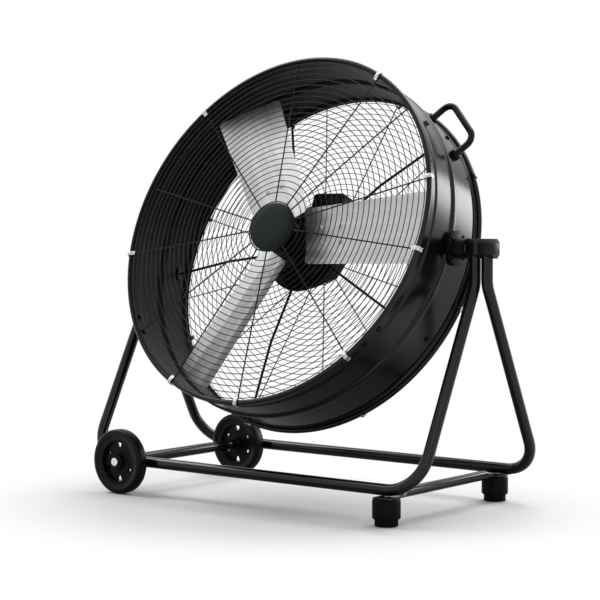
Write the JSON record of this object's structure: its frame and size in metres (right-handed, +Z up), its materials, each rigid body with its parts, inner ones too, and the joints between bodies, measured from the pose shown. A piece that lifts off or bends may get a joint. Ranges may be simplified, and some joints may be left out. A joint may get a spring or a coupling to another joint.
{
  "type": "drum fan",
  "caption": "Wheeled drum fan: a tilting steel drum with wire guards, a three-bladed rotor and a motor, held between the legs of a bent-tube stand.",
  "frame": {"origin": "on the floor, under the middle of the whole fan; the tilt axis is 18 mm further along +Y", "axes": "+Z up, +X along the tilt axis towards the feet, air leaves towards -Y and up"},
  "size_m": [1.0418, 0.5248, 1.0113],
  "materials": {
    "frame_paint": "gloss black powder coat",
    "drum_paint": "gloss black paint on rolled steel",
    "handle_paint": "gloss black powder coat",
    "bracket_paint": "satin black paint",
    "guard_wire": "black coated wire",
    "guard_cap_paint": "smooth dark slate paint",
    "block_gloss": "polished black",
    "block_grey": "fine-grained dark grey",
    "foot_plastic": "matte black",
    "pad_rubber": "dull black rubber",
    "tyre_rubber": "dull black rubber",
    "rim_plastic": "satin black",
    "bush_plastic": "pale bearing plastic",
    "axle_steel": "turned steel",
    "cap_bright": "bright plated",
    "clip_steel": "bright zinc plate",
    "screw_steel": "zinc plate",
    "washer_fibre": "pressed fibre",
    "blade_aluminium": "mill finish sheet",
    "rivet_aluminium": "dull",
    "hub_metal": "black painted steel",
    "motor_paint": "satin black paint",
    "core_steel": "stacked sheet steel",
    "bearing_steel": "ground steel",
    "cradle_paint": "black powder coat",
    "box_plastic": "matte black",
    "capacitor_can": "pale plastic can",
    "gland_plastic": "black nylon",
    "lead_rubber": "black rubber sheath",
    "switch_plastic": "black moulding",
    "knob_plastic": "matte black"
  },
  "bodies": {
    "stand": {"front_frame_tube": "frame_paint", "rear_frame_tube": "frame_paint", "foot_cross_bar": "frame_paint", "axle_cross_tube": "frame_paint", "wheel_axle": "axle_steel", "axle_end_caps": "cap_bright", "axle_washers": "axle_steel", "front_foot": "foot_plastic", "rear_foot": "foot_plastic", "foot_pads": "pad_rubber", "foot_screws": "screw_steel", "left_inner_pivot_block": "block_gloss", "right_inner_pivot_block": "block_gloss", "left_outer_pivot_block": "block_grey", "right_outer_pivot_block": "block_grey", "pivot_caps": "block_grey"},
    "drum": {"drum_shell": "drum_paint", "left_pivot_bracket": "bracket_paint", "right_pivot_bracket": "bracket_paint", "bracket_screws": "screw_steel", "pivot_bolts": "screw_steel", "friction_washers": "washer_fibre", "carry_handle": "handle_paint", "handle_screws": "screw_steel", "wall_bolts": "screw_steel", "front_guard": "guard_wire", "rear_guard": "guard_wire", "guard_clips": "clip_steel", "clip_screws": "screw_steel", "front_guard_cap": "guard_cap_paint", "rear_guard_cap": "guard_cap_paint", "speed_switch": "switch_plastic", "motor_front_bell": "motor_paint", "motor_housing": "motor_paint", "motor_rear_bell": "motor_paint", "stator_core": "core_steel", "motor_bearings": "bearing_steel", "motor_cradle": "cradle_paint", "cradle_bolts": "screw_steel", "junction_box": "box_plastic", "junction_box_lid": "box_plastic", "run_capacitor": "capacitor_can", "cable_gland": "gland_plastic", "motor_lead": "lead_rubber"},
    "rotor": {"motor_shaft": "axle_steel", "rotor_core": "core_steel", "fan_hub": "hub_metal", "hub_nut": "cap_bright", "blade_1": "blade_aluminium", "blade_2": "blade_aluminium", "blade_3": "blade_aluminium", "blade_rivets": "rivet_aluminium"},
    "front_wheel": {"front_tyre": "tyre_rubber", "front_wheel_rim": "rim_plastic", "front_wheel_bush": "bush_plastic"},
    "rear_wheel": {"rear_tyre": "tyre_rubber", "rear_wheel_rim": "rim_plastic", "rear_wheel_bush": "bush_plastic"},
    "speed_dial": {"speed_knob": "knob_plastic"}
  },
  "joints": [
    {"name": "drum_tilt", "type": "hinge", "parent": "stand", "child": "drum", "pos_m": [0, 0.018, 0.575], "axis": [-1, 0, 0], "range_deg": [-42, 68]},
    {"name": "rotor_spin", "type": "hinge", "parent": "drum", "child": "rotor", "pos_m": [0, 0.018, 0.575], "axis": [0, -0.9272, 0.3746], "continuous": true},
    {"name": "speed_dial_turn", "type": "hinge", "parent": "drum", "child": "speed_dial", "pos_m": [0, 0.018, 0.575], "axis": [0, 0.9272, -0.3746], "range_deg": [0, 90]},
    {"name": "front_wheel_spin", "type": "hinge", "parent": "stand", "child": "front_wheel", "pos_m": [-0.352, -0.224, 0.075], "axis": [0, 1, 0], "continuous": true},
    {"name": "rear_wheel_spin", "type": "hinge", "parent": "stand", "child": "rear_wheel", "pos_m": [-0.352, 0.199, 0.075], "axis": [0, 1, 0], "continuous": true}
  ]
}
